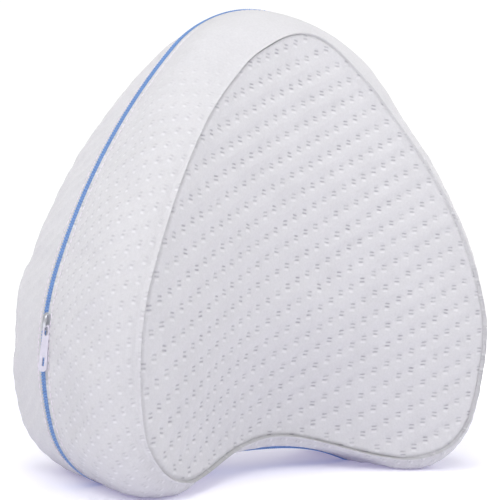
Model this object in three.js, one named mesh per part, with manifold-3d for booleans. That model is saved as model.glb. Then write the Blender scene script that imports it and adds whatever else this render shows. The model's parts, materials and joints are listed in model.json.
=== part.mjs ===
// Knee pillow: a filled cushion with a leg channel down each face, standing on its two lobes.
// Millimetres. X runs across the two lobes, Y through the thickness with the front towards -Y,
// Z up to the apex. The origin is on the floor, under the middle of the pillow.
import * as THREE from 'three';
import Module from 'manifold-3d';
import { mergeVertices } from 'three/addons/utils/BufferGeometryUtils.js';

const wasm = await Module();
wasm.setup();

// Outline seen from the front: tangent arcs from the apex, round one lobe, to the notch
const height = 250;
const apexRadius = 78;
const sideRadius = 340;
const hipRadius = 132;
const hipEndAngle = THREE.MathUtils.degToRad(-17);
const lobeRadius = 43;
const lobeOffset = 78;
const notchRadius = 170;
const footSag = 2;
const stationsPerHalf = 36;

// How far the face seam lies inside the outline, along the outline from apex (0) to notch (1)
const seamRows = [
  { along: 0, inset: 19.4 },
  { along: 0.12, inset: 23.5 },
  { along: 0.3, inset: 18.3 },
  { along: 0.5, inset: 16.5 },
  { along: 0.62, inset: 17.3 },
  { along: 0.72, inset: 16.4 },
  { along: 0.8, inset: 11.5 },
  { along: 0.88, inset: 4.5 },
  { along: 1, inset: 7 },
];

// Half thickness of the pillow at each height: on the channel's floor and on its ridges
const depthRows = [
  { up: 20, channel: 16, ridge: 60.5 },
  { up: 85, channel: 32.5, ridge: 65 },
  { up: 150, channel: 39.3, ridge: 63 },
  { up: 240, channel: 36.2, ridge: 49 },
];
const ridgeOffset = { low: 114, high: 142 };
const channelSharpness = 1.1;

// The side wall is round at the apex and flatter, with rounded edges, along the sides
const wallPower = { apex: 1.7, side: 5.8, settled: 0.3 };
const wallShares = [0.3, 0.55, 0.72, 0.85, 0.94, 1];
const faceShares = [0.93, 0.84, 0.72, 0.58, 0.42, 0.22];
const faceMiddle = { across: 0, up: 108 };

// Cloth and zip
const clothThickness = 3;
const gap = 0.3;
const innerGap = 0.4;
const grooveHalfWidth = 3;
const grooveDepth = 3.2;
const zipHalfWidth = 2.7;
const coilHalfWidth = 1.9;
const coilRise = 0.6;
const zipFloor = 2.8;

// How far the coil stands out of the groove's lips, from apex (0) to notch (1), where the taut zip cuts across
const zipRows = [
  { along: 0, rise: 0.5 },
  { along: 0.14, rise: -0.3 },
  { along: 0.3, rise: -0.5 },
  { along: 0.75, rise: -0.5 },
  { along: 0.9, rise: 0 },
  { along: 1, rise: 1.2 },
];

// Slider and pull, on the left side wall
const sliderUp = 77;
const slider = { length: 8.4, width: 5.2, thickness: 1.3, corner: 1.7 };
const bridge = { length: 6.4, width: 1.6, clearance: 1.7, thickness: 0.7, postLength: 1.2 };
const pull = { length: 21, width: 4.4, thickness: 0.9, rim: 1, eyeLength: 4, eyeWidth: 2.3 };
const pullSlot = { length: 3.6, width: 1.2, fromEnd: 4 };
const pullLift = 0.45;
const pullTilt = THREE.MathUtils.degToRad(2);

// A smooth curve through a table's rows, level at both ends
function readRows(rows, key, value, at) {
  const last = rows.length - 1;
  const place = THREE.MathUtils.clamp(at, rows[0][key], rows[last][key]);
  let row = 0;
  while (row < last - 1 && place > rows[row + 1][key]) row += 1;
  const slope = (index) => {
    if (index === 0 || index === last) return 0;
    const rise = rows[index + 1][value] - rows[index - 1][value];
    return rise / (rows[index + 1][key] - rows[index - 1][key]);
  };
  const span = rows[row + 1][key] - rows[row][key];
  const t = (place - rows[row][key]) / span;
  const start = (2 * t ** 3 - 3 * t ** 2 + 1) * rows[row][value];
  const end = (3 * t ** 2 - 2 * t ** 3) * rows[row + 1][value];
  const lean = (t ** 3 - 2 * t ** 2 + t) * slope(row) + (t ** 3 - t ** 2) * slope(row + 1);
  return start + end + span * lean;
}

// The right half of the outline as arcs, each tangent to the next
function outlineArcs() {
  const apex = new THREE.Vector2(0, height - apexRadius);
  const lobe = new THREE.Vector2(lobeOffset, lobeRadius - footSag);
  const hipOffset = hipRadius - lobeRadius;
  const hip = new THREE.Vector2(Math.cos(hipEndAngle), Math.sin(hipEndAngle))
    .multiplyScalar(-hipOffset)
    .add(lobe);
  const side = sideCentre(apex, hip);
  const notchDrop = Math.sqrt((lobeRadius + notchRadius) ** 2 - lobeOffset ** 2);
  const notch = new THREE.Vector2(0, lobe.y - notchDrop);
  const angleTo = (from, to) => Math.atan2(to.y - from.y, to.x - from.x);
  const apexEnd = angleTo(side, apex);
  const sideEnd = angleTo(side, hip);
  const notchStart = angleTo(notch, lobe);
  return [
    { centre: apex, radius: apexRadius, from: Math.PI / 2, to: apexEnd, outward: 1 },
    { centre: side, radius: sideRadius, from: apexEnd, to: sideEnd, outward: 1 },
    { centre: hip, radius: hipRadius, from: sideEnd, to: hipEndAngle, outward: 1 },
    { centre: lobe, radius: lobeRadius, from: hipEndAngle, to: notchStart - Math.PI, outward: 1 },
    { centre: notch, radius: notchRadius, from: notchStart, to: Math.PI / 2, outward: -1 },
  ];
}

// Centre of the side arc, which touches the apex arc and the hip arc from outside them
function sideCentre(apex, hip) {
  const toHip = hip.clone().sub(apex);
  const span = toHip.length();
  const apexReach = sideRadius - apexRadius;
  const hipReach = sideRadius - hipRadius;
  const along = (apexReach ** 2 - hipReach ** 2 + span ** 2) / (2 * span);
  const beside = Math.sqrt(apexReach ** 2 - along ** 2);
  const unit = toHip.divideScalar(span);
  return new THREE.Vector2(
    apex.x + unit.x * along + unit.y * beside,
    apex.y + unit.y * along - unit.x * beside,
  );
}

// Evenly spaced places on the half outline, with the outward direction at each
function halfStations() {
  const arcs = outlineArcs();
  const lengths = arcs.map((arc) => Math.abs(arc.to - arc.from) * arc.radius);
  const total = lengths.reduce((sum, length) => sum + length, 0);
  const stations = [];
  for (let step = 0; step <= stationsPerHalf; step += 1) {
    const along = step / stationsPerHalf;
    let left = along * total;
    let index = 0;
    while (index < arcs.length - 1 && left > lengths[index]) {
      left -= lengths[index];
      index += 1;
    }
    const arc = arcs[index];
    const angle = THREE.MathUtils.lerp(arc.from, arc.to, left / lengths[index]);
    stations.push({
      across: arc.centre.x + arc.radius * Math.cos(angle),
      up: arc.centre.y + arc.radius * Math.sin(angle),
      outAcross: arc.outward * Math.cos(angle),
      outUp: arc.outward * Math.sin(angle),
      along,
    });
  }
  return stations;
}

// The whole outline: down the right half, and back up the mirrored left half
function outlineStations() {
  const right = halfStations();
  const left = right.slice(1, -1).reverse().map((station) => ({
    ...station,
    across: -station.across,
    outAcross: -station.outAcross,
  }));
  return [...right, ...left];
}

const stations = outlineStations();

// Half thickness of the cushion at a place on its face
function halfDepth(across, up) {
  const channel = readRows(depthRows, 'up', 'channel', up);
  const ridge = readRows(depthRows, 'up', 'ridge', up);
  const rise = THREE.MathUtils.smoothstep(up, depthRows[0].up, depthRows[3].up);
  const reach = THREE.MathUtils.lerp(ridgeOffset.low, ridgeOffset.high, rise);
  const share = Math.min(Math.abs(across) / reach, 1);
  const swell = ((1 - Math.cos(Math.PI * share)) / 2) ** channelSharpness;
  return channel + (ridge - channel) * swell;
}

// A place inside the outline by an inset, kept level with the floor where the foam is flattened
function insetPlace(station, inset, lowest) {
  return {
    across: station.across - station.outAcross * inset,
    up: Math.max(station.up - station.outUp * inset, lowest),
  };
}

function seamInset(station) {
  return readRows(seamRows, 'along', 'inset', station.along);
}

// One loop round the pillow, side -1 in front and 1 behind
function loop(place) {
  return stations.map((station) => {
    const { across, out, up } = place(station);
    return new THREE.Vector3(across, out, up);
  });
}

function grooveLoop(side, depthFromMiddle, insetAt) {
  return loop((station) => {
    const inset = insetAt(station);
    return { ...insetPlace(station, inset, inset), out: side * depthFromMiddle };
  });
}

// The side wall's cloth, from the zip groove (share 0) to the face seam (share 1)
function wallLoop(side, share) {
  return loop((station) => {
    const inset = seamInset(station);
    const settled = THREE.MathUtils.smoothstep(station.along, 0, wallPower.settled);
    const power = THREE.MathUtils.lerp(wallPower.apex, wallPower.side, settled);
    const seam = insetPlace(station, inset, 0);
    const depth = halfDepth(seam.across, seam.up);
    const place = insetPlace(station, inset * share ** power, 0);
    return { ...place, out: side * THREE.MathUtils.lerp(grooveHalfWidth, depth, share) };
  });
}

// A loop on the face, shrunk towards its middle, sunk below the cloth's outer side
function faceLoop(side, share, sunk, edge) {
  return loop((station) => {
    const seam = insetPlace(station, seamInset(station) + edge, 0);
    const across = THREE.MathUtils.lerp(faceMiddle.across, seam.across, share);
    const up = THREE.MathUtils.lerp(faceMiddle.up, seam.up, share);
    return { across, up, out: side * (halfDepth(across, up) - sunk) };
  });
}

function facePole(side, sunk) {
  const depth = halfDepth(faceMiddle.across, faceMiddle.up) - sunk;
  return new THREE.Vector3(faceMiddle.across, side * depth, faceMiddle.up);
}

// A closed solid through a row of loops, ended by a pole at each end or joined end to end
function closedSolid(loops, poles, turned) {
  const count = stations.length;
  const points = [...loops.flat(), ...poles];
  const faces = [];
  const addFace = (a, b, c) => faces.push(...(turned ? [a, c, b] : [a, b, c]));
  const bands = poles.length ? loops.length - 1 : loops.length;
  for (let band = 0; band < bands; band += 1) {
    const near = band * count;
    const far = ((band + 1) % loops.length) * count;
    for (let step = 0; step < count; step += 1) {
      const next = (step + 1) % count;
      addFace(near + step, near + next, far + next);
      addFace(near + step, far + next, far + step);
    }
  }
  if (poles.length) {
    const lastLoop = (loops.length - 1) * count;
    const firstPole = loops.length * count;
    for (let step = 0; step < count; step += 1) {
      const next = (step + 1) % count;
      addFace(firstPole, next, step);
      addFace(firstPole + 1, lastLoop + step, lastLoop + next);
    }
  }
  const geometry = new THREE.BufferGeometry().setFromPoints(points);
  geometry.setIndex(faces);
  geometry.computeVertexNormals();
  return geometry;
}

// One half of the filled side wall: from the middle plane, out round the groove, to under the face
function bandGeometry(side) {
  const sunk = clothThickness + innerGap;
  const grooveFloor = () => grooveDepth;
  const loops = [
    grooveLoop(side, gap / 2, grooveFloor),
    grooveLoop(side, grooveHalfWidth, grooveFloor),
    wallLoop(side, 0),
    ...wallShares.map((share) => wallLoop(side, share)),
    faceLoop(side, 1, sunk, 0),
    ...[1, ...faceShares].map((share) => faceLoop(side, share, sunk, gap)),
  ];
  const middle = new THREE.Vector3(faceMiddle.across, side * (gap / 2), faceMiddle.up);
  return closedSolid(loops, [middle, facePole(side, sunk)], side < 0);
}

// The cloth panel of one face, following the channel
function panelGeometry(side) {
  const shares = [1, ...faceShares];
  const outer = shares.map((share) => faceLoop(side, share, 0, gap)).reverse();
  const inner = shares.map((share) => faceLoop(side, share, clothThickness, gap));
  return closedSolid([...outer, ...inner], [facePole(side, 0), facePole(side, clothThickness)], side > 0);
}

const zipRise = (along) => readRows(zipRows, 'along', 'rise', along);

// The zip's tape with its raised coil, all round the groove
function zipGeometry() {
  const coil = (station) => -zipRise(station.along);
  const shoulder = (station) => coil(station) + coilRise;
  const underside = () => zipFloor;
  return closedSolid([
    grooveLoop(-1, zipHalfWidth, underside),
    grooveLoop(-1, zipHalfWidth, shoulder),
    grooveLoop(-1, coilHalfWidth, coil),
    grooveLoop(1, coilHalfWidth, coil),
    grooveLoop(1, zipHalfWidth, shoulder),
    grooveLoop(1, zipHalfWidth, underside),
  ], [], false);
}

// A flat plate lying in the plane of the side wall: X along the zip, Y across it, Z outwards
function plate(length, width, thickness, corner, holes) {
  const shape = new THREE.Shape();
  const x = length / 2;
  const y = width / 2;
  shape.moveTo(-x + corner, -y);
  shape.absarc(x - corner, -y + corner, corner, -Math.PI / 2, 0);
  shape.absarc(x - corner, y - corner, corner, 0, Math.PI / 2);
  shape.absarc(-x + corner, y - corner, corner, Math.PI / 2, Math.PI);
  shape.absarc(-x + corner, -y + corner, corner, Math.PI, Math.PI * 1.5);
  holes.forEach((hole) => shape.holes.push(rectanglePath(hole)));
  return new THREE.ExtrudeGeometry(shape, { depth: thickness, bevelEnabled: false, curveSegments: 3 });
}

function rectanglePath({ middle, length, width }) {
  const corners = [[-1, -1], [-1, 1], [1, 1], [1, -1]];
  return new THREE.Path(corners.map(([x, y]) => (
    new THREE.Vector2(middle + x * length / 2, y * width / 2)
  )));
}

function toSolid(geometry) {
  geometry.deleteAttribute('normal');
  geometry.deleteAttribute('uv');
  const merged = mergeVertices(geometry, 1e-4);
  return new wasm.Manifold(new wasm.Mesh({
    numProp: 3,
    vertProperties: merged.attributes.position.array,
    triVerts: new Uint32Array(merged.index.array),
  }));
}

function toGeometry(solid) {
  const mesh = solid.getMesh();
  const geometry = new THREE.BufferGeometry();
  geometry.setAttribute('position', new THREE.BufferAttribute(mesh.vertProperties, 3));
  geometry.setIndex(new THREE.BufferAttribute(mesh.triVerts, 1));
  geometry.computeVertexNormals();
  return geometry;
}

// The slider's body with the bridge that holds the pull
function sliderGeometry() {
  const body = toSolid(plate(slider.length, slider.width, slider.thickness, slider.corner, []));
  const top = slider.thickness + bridge.clearance + bridge.thickness;
  const arch = toSolid(new THREE.BoxGeometry(bridge.length, bridge.width, top).translate(0, 0, top / 2));
  const span = bridge.length - 2 * bridge.postLength;
  const open = new THREE.BoxGeometry(span, 2 * bridge.width, bridge.clearance);
  open.translate(0, 0, slider.thickness + bridge.clearance / 2);
  return toGeometry(body.add(arch.subtract(toSolid(open))));
}

// The pull tab: its rim lies under the bridge, its eye round the lower post, a slot near its free end
function pullGeometry() {
  const eye = { middle: pull.rim + (pull.eyeLength - pull.length) / 2, length: pull.eyeLength, width: pull.eyeWidth };
  const slot = { middle: pull.length / 2 - pullSlot.fromEnd, length: pullSlot.length, width: pullSlot.width };
  const tab = plate(pull.length, pull.width, pull.thickness, pull.width / 3, [eye, slot]);
  const postTop = bridge.length / 2 - bridge.postLength;
  tab.translate(pull.length / 2, 0, 0);
  tab.rotateY(pullTilt);
  tab.translate(postTop - gap - pull.rim, 0, slider.thickness + pullLift);
  return tab;
}

// A frame on the left side wall at the slider: X down along the zip, Z outwards
function sliderPlace() {
  const right = halfStations();
  const above = right.findIndex((station) => station.along > 0.3 && station.up < sliderUp) - 1;
  const share = (right[above].up - sliderUp) / (right[above].up - right[above + 1].up);
  const mix = (key) => THREE.MathUtils.lerp(right[above][key], right[above + 1][key], share);
  const out = new THREE.Vector3(-mix('outAcross'), 0, mix('outUp')).normalize();
  const across = new THREE.Vector3(0, -1, 0);
  const down = across.clone().cross(out);
  const seat = gap + zipRise(mix('along'));
  const place = new THREE.Matrix4().makeBasis(down, across, out);
  place.setPosition(new THREE.Vector3(-mix('across'), 0, mix('up')).addScaledVector(out, seat));
  return place;
}

const knitCloth = () => new THREE.MeshStandardMaterial({ color: '#eceaf0', roughness: 0.9, metalness: 0 });
const blueTape = () => new THREE.MeshStandardMaterial({ color: '#4a7fc1', roughness: 0.7, metalness: 0 });
const paleMetal = () => new THREE.MeshStandardMaterial({ color: '#b9bcc6', roughness: 0.35, metalness: 0.7 });
const paleEnamel = () => new THREE.MeshStandardMaterial({ color: '#e3e1ea', roughness: 0.4, metalness: 0 });

const pillow = new THREE.Group();

function addPiece(name, geometry, material, place) {
  const piece = new THREE.Mesh(geometry, material);
  piece.name = name;
  if (place) piece.applyMatrix4(place);
  pillow.add(piece);
}

addPiece('front_panel', panelGeometry(-1), knitCloth());
addPiece('back_panel', panelGeometry(1), knitCloth());
addPiece('front_band', bandGeometry(-1), knitCloth());
addPiece('back_band', bandGeometry(1), knitCloth());
addPiece('zip_chain', zipGeometry(), blueTape());
addPiece('zip_slider', sliderGeometry(), paleMetal(), sliderPlace());
addPiece('zip_pull', pullGeometry(), paleEnamel(), sliderPlace());

export default pillow;
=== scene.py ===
import json
import math

import bpy
import numpy as np
from mathutils import Matrix, Vector
from mathutils.bvhtree import BVHTree

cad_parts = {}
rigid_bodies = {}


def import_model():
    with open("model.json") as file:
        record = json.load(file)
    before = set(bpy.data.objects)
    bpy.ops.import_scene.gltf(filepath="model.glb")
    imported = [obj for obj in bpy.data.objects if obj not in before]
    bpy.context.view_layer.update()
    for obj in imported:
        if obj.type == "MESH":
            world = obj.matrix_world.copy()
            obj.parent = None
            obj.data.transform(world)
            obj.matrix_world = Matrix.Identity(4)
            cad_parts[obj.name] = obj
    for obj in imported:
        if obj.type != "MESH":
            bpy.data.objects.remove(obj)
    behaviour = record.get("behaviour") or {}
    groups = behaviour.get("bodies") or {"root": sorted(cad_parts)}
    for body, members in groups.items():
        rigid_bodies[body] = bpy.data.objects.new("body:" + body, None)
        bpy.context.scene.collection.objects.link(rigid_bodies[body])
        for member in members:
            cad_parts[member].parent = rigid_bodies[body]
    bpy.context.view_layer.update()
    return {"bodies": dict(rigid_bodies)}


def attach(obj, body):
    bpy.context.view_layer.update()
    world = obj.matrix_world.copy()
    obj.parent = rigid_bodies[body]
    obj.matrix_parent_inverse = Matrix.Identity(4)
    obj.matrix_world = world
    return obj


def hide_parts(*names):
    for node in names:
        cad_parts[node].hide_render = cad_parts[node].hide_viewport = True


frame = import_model()
body = sorted(frame["bodies"])[0]
metre = 0.001   # everything below is worked out in millimetres, then scaled by this

# the pillow's form: the same arcs, tables and powers as the solid's
form = {
    "height": 250, "apexRadius": 78, "sideRadius": 340, "hipRadius": 132, "hipEnd": math.radians(-17),
    "lobeRadius": 43, "lobeOffset": 78, "notchRadius": 170, "footSag": 2,
    "seamAlong": [0, 0.12, 0.3, 0.5, 0.62, 0.72, 0.8, 0.88, 1],
    "seamInset": [19.4, 23.5, 18.3, 16.5, 17.3, 16.4, 11.5, 4.5, 7],
    "depthUp": [20, 85, 150, 240], "channel": [16, 32.5, 39.3, 36.2], "ridge": [60.5, 65, 63, 49],
    "reachLow": 114, "reachHigh": 142, "sharpness": 1.1,
    "wallApex": 1.7, "wallSide": 5.8, "settled": 0.3,
    "grooveHalf": 3, "grooveDepth": 3.2, "middleGap": 0.15,
    "cloth": 3, "seamGap": 0.3, "innerGap": 0.4, "faceMiddle": (0, 108),
}


def smoothStep(value, low, high):
    t = np.clip((value - low) / (high - low), 0, 1)
    return t * t * (3 - 2 * t)


# a smooth curve through a table, level at both ends
def readTable(keys, values, at):
    keys, values = np.array(keys, float), np.array(values, float)
    at = np.clip(at, keys[0], keys[-1])
    row = np.clip(np.searchsorted(keys, at, side="right") - 1, 0, len(keys) - 2)
    slope = np.zeros(len(keys))
    slope[1:-1] = (values[2:] - values[:-2]) / (keys[2:] - keys[:-2])
    span = keys[row + 1] - keys[row]
    t = (at - keys[row]) / span
    start = (2 * t**3 - 3 * t**2 + 1) * values[row]
    end = (3 * t**2 - 2 * t**3) * values[row + 1]
    lean = (t**3 - 2 * t**2 + t) * slope[row] + (t**3 - t**2) * slope[row + 1]
    return start + end + span * lean


# the right half of the outline as tangent arcs: centre, radius, start angle, end angle, outward sign
def outlineArcs():
    apex = np.array([0, form["height"] - form["apexRadius"]])
    lobe = np.array([form["lobeOffset"], form["lobeRadius"] - form["footSag"]])
    hipDirection = np.array([math.cos(form["hipEnd"]), math.sin(form["hipEnd"])])
    hip = lobe - (form["hipRadius"] - form["lobeRadius"]) * hipDirection
    span = np.hypot(*(hip - apex))
    apexReach = form["sideRadius"] - form["apexRadius"]
    hipReach = form["sideRadius"] - form["hipRadius"]
    near = (apexReach**2 - hipReach**2 + span**2) / (2 * span)
    beside = math.sqrt(apexReach**2 - near**2)
    unit = (hip - apex) / span
    side = apex + unit * near + np.array([unit[1], -unit[0]]) * beside
    drop = math.sqrt((form["lobeRadius"] + form["notchRadius"])**2 - form["lobeOffset"]**2)
    notch = np.array([0, lobe[1] - drop])
    angleTo = lambda a, b: math.atan2(b[1] - a[1], b[0] - a[0])
    apexEnd, sideEnd, notchStart = angleTo(side, apex), angleTo(side, hip), angleTo(notch, lobe)
    return [
        (apex, form["apexRadius"], math.pi / 2, apexEnd, 1),
        (side, form["sideRadius"], apexEnd, sideEnd, 1),
        (hip, form["hipRadius"], sideEnd, form["hipEnd"], 1),
        (lobe, form["lobeRadius"], form["hipEnd"], notchStart - math.pi, 1),
        (notch, form["notchRadius"], notchStart, math.pi / 2, -1),
    ]


arcs = outlineArcs()
arcStarts = np.concatenate([[0], np.cumsum([abs(arc[3] - arc[2]) * arc[1] for arc in arcs])])
halfLength = arcStarts[-1]   # from the apex to the notch


# places on the outline: along is 0 at the apex, 1 at the notch by the right, -1 by the left
def station(along):
    travel = np.abs(along) * halfLength
    pick = np.clip(np.searchsorted(arcStarts, travel, side="right") - 1, 0, len(arcs) - 1)
    table = np.array([[*arc[0], arc[1], arc[2], arc[3], arc[4]] for arc in arcs])[pick]
    share = (travel - arcStarts[pick]) / (arcStarts[pick + 1] - arcStarts[pick])
    angle = table[..., 3] + (table[..., 4] - table[..., 3]) * share
    side = np.where(along < 0, -1.0, 1.0)
    outAcross = table[..., 5] * np.cos(angle) * side
    outUp = table[..., 5] * np.sin(angle)
    across = (table[..., 0] + table[..., 2] * np.cos(angle)) * side
    up = table[..., 1] + table[..., 2] * np.sin(angle)
    return across, up, outAcross, outUp


def insetPlace(along, inset, lowest):
    across, up, outAcross, outUp = station(along)
    return across - outAcross * inset, np.maximum(up - outUp * inset, lowest)


def seamInset(along):
    return readTable(form["seamAlong"], form["seamInset"], np.abs(along))


def halfDepth(across, up):
    channel = readTable(form["depthUp"], form["channel"], up)
    ridge = readTable(form["depthUp"], form["ridge"], up)
    rise = smoothStep(up, form["depthUp"][0], form["depthUp"][-1])
    reach = form["reachLow"] + (form["reachHigh"] - form["reachLow"]) * rise
    share = np.minimum(np.abs(across) / reach, 1)
    return channel + (ridge - channel) * ((1 - np.cos(np.pi * share)) / 2)**form["sharpness"]


# the side wall in front, from the zip groove (share 0) to the face seam (share 1)
def wallPoint(along, share):
    inset = seamInset(along)
    settled = smoothStep(np.abs(along), 0, form["settled"])
    power = form["wallApex"] + (form["wallSide"] - form["wallApex"]) * settled
    depth = halfDepth(*insetPlace(along, inset, 0))
    across, up = insetPlace(along, inset * share**power, 0)
    out = form["grooveHalf"] + (depth - form["grooveHalf"]) * share
    return np.stack([across, -out, up], -1)


# a place on the front face, shrunk towards the middle by share and sunk below the cloth
def facePoint(along, share, sunk, edge):
    across, up = insetPlace(along, seamInset(along) + edge, 0)
    middle = form["faceMiddle"]
    across = middle[0] + (across - middle[0]) * share
    up = middle[1] + (up - middle[1]) * share
    return np.stack([across, -(halfDepth(across, up) - sunk), up], -1)


# the middle of the front face, sunk below the cloth
def faceMiddle(sunk):
    across, up = form["faceMiddle"]
    return [across, sunk - float(halfDepth(np.array(across), np.array(up))), up]


def groovePoint(along, fromMiddle, inset, lowest=0):
    across, up = insetPlace(along, inset, np.maximum(inset, lowest))
    return np.stack([across, np.full_like(across, -fromMiddle), up], -1)


# Cloth surface effects shared by the panels and the bands
clothLook = {
    "puff": 0.36, "bandPuff": 0.12, "puckerHeight": 0.3, "bandPucker": 0.2, "puckerReach": 6,
    "puckerLength": 7.4, "seamClear": (0, 1.5), "driftTurn": 0.043, "driftSize": 2.1,
    "unevenTurn": 0.071, "unevenShare": 0.45, "apexDraw": 0.4, "apexDrawSpan": (0.22, 0.5),
    "waveHeight": 0.3, "waveLength": 52, "risingWave": (0.8, 0.5), "fallingWave": (-0.4, 0.7),
    "fineWaveShare": 0.3, "fineWaveTurns": 1.7, "fineWaveAcross": 1.5, "fineWaveUp": 0.6,
}


# small folds across a seam, whose spacing drifts and whose height comes and goes
def puckers(lengthAlong, fromSeam, seed):
    turn = 2 * np.pi / clothLook["puckerLength"]
    drift = clothLook["driftSize"] * np.sin(clothLook["driftTurn"] * lengthAlong + seed)
    wave = np.sin(turn * lengthAlong + drift)
    share = clothLook["unevenShare"]
    strength = 1 - share + share * np.sin(clothLook["unevenTurn"] * lengthAlong + 1.7 * seed)
    return clothLook["puckerHeight"] * wave * strength * np.exp(-fromSeam / clothLook["puckerReach"])


# the seam is drawn in less over the apex, where the knit lies flat against it
def seamShare(along):
    least = clothLook["apexDraw"]
    return least + (1 - least) * smoothStep(np.abs(along), *clothLook["apexDrawSpan"])


# broad hollows where two leaning waves cross, with finer ones laid over them
def slowWaves(points, seed):
    turn = 2 * np.pi / clothLook["waveLength"]
    x, y, z = points[..., 0], points[..., 1], points[..., 2]
    lean = lambda wave: wave[0] * x + wave[1] * z
    broad = np.sin(turn * lean(clothLook["risingWave"]) + seed)
    broad = broad * np.sin(turn * lean(clothLook["fallingWave"]) + 2 * seed)
    fineTurn, acrossTurn = turn * clothLook["fineWaveTurns"], turn * clothLook["fineWaveAcross"]
    fine = np.sin(fineTurn * (clothLook["fineWaveUp"] * z + y) + 3 * seed) * np.sin(acrossTurn * x + seed)
    share = clothLook["fineWaveShare"]
    return clothLook["waveHeight"] * ((1 - share) * broad + share * fine)


# the cloth swells in soft ribs between the slanting rows of dots
def puffs(lattice, height):
    return -height * np.cos(2 * np.pi * lattice[..., 1])


# Mesh building: where a closed strip meets its own start, the start's corners count one lap further on
def joinLap(mesh, cornerUv, lap):
    owner = np.repeat(np.arange(len(mesh.polygons)), [polygon.loop_total for polygon in mesh.polygons])
    highest = np.full(len(mesh.polygons), -1e9)
    np.maximum.at(highest, owner, cornerUv[:, 1])
    behind = cornerUv[:, 1] < highest[owner] - lap / 2
    cornerUv[behind, 1] += lap


def addObject(name, data):
    piece = bpy.data.objects.new(name, data)
    bpy.context.scene.collection.objects.link(piece)
    return piece


# what an object's modifiers or bevels give, as a plain mesh
def plainMesh(name, source):
    bpy.context.view_layer.update()
    evaluated = source.evaluated_get(bpy.context.evaluated_depsgraph_get())
    mesh = bpy.data.meshes.new_from_object(evaluated)
    mesh.name = name
    return mesh


def smoothShading(mesh):
    mesh.polygons.foreach_set("use_smooth", [True] * len(mesh.polygons))


def makeMesh(name, points, faces, material, uv=None, lap=0):
    mesh = bpy.data.meshes.new(name)
    mesh.from_pydata((np.asarray(points) * metre).tolist(), [], faces)
    mesh.update()
    if uv is not None:
        layer = mesh.uv_layers.new(name="clothGrid")
        corners = np.zeros(len(mesh.loops), np.int32)
        mesh.loops.foreach_get("vertex_index", corners)
        cornerUv = np.asarray(uv, np.float32)[corners]
        if lap:
            joinLap(mesh, cornerUv, lap)
        layer.data.foreach_set("uv", cornerUv.ravel())
    smoothShading(mesh)
    mesh.materials.append(material)
    return addObject(name, mesh)


# quads between two closed loops of vertex numbers
def bridgeLoops(first, second):
    following = np.roll(first, -1), np.roll(second, -1)
    return np.stack([first, following[0], following[1], second], 1).tolist()


def fan(loopNumbers, pole):
    return np.stack([loopNumbers, np.full(len(loopNumbers), pole), np.roll(loopNumbers, -1)], 1).tolist()


def gridNormals(points):
    down = np.gradient(points, axis=0)
    right = np.roll(points, -1, axis=1) - np.roll(points, 1, axis=1)
    normal = np.cross(right, down)
    return normal / np.maximum(np.linalg.norm(normal, axis=-1, keepdims=True), 1e-9)


# turned pieces are the front ones turned half round the vertical
def turnRound(points, behind):
    return points * np.array([-1, -1, 1]) if behind else points


# Cloth settling: a coarse shell of one half is simulated over its filling, pinned at zip and seam
settle = {
    "stations": 156, "wallRows": 13,
    "faceShares": [1, 0.95, 0.89, 0.82, 0.75, 0.67, 0.59, 0.5, 0.41, 0.32, 0.22, 0.12],
    "pressure": 4.0, "frames": 20, "growth": 0.02, "tension": 18.0, "bending": 0.6, "mass": 0.3,
    "quality": 6, "limit": 1.2,
}


# the wall from the zip to the seam, then rings of the face down to its middle
def coarseShell():
    along = np.linspace(-1, 1, settle["stations"], endpoint=False)
    wallShares = np.linspace(0, 1, settle["wallRows"])
    loops = [wallPoint(along, np.full(len(along), share)) for share in wallShares]
    loops += [facePoint(along, share, 0, 0) for share in settle["faceShares"][1:]]
    numbers = np.arange(len(loops) * len(along)).reshape(len(loops), -1)
    faces = []
    for near, far in zip(numbers[:-1], numbers[1:]):
        faces.extend(bridgeLoops(near, far))
    faces.extend(fan(numbers[-1][::-1], numbers.size))
    pinned = np.concatenate([numbers[0], numbers[settle["wallRows"] - 1]])
    return np.concatenate([*loops, [faceMiddle(0)]]), faces, pinned.tolist()


# the shell's points after the modifiers, in millimetres, with its triangles
def readShell(piece):
    evaluated = piece.evaluated_get(bpy.context.evaluated_depsgraph_get())
    mesh = evaluated.to_mesh()
    points = np.zeros(len(mesh.vertices) * 3)
    mesh.vertices.foreach_get("co", points)
    mesh.calc_loop_triangles()
    triangles = np.zeros(len(mesh.loop_triangles) * 3, np.int32)
    mesh.loop_triangles.foreach_get("vertices", triangles)
    evaluated.to_mesh_clear()
    return points.reshape(-1, 3) / metre, triangles.reshape(-1, 3)


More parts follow.
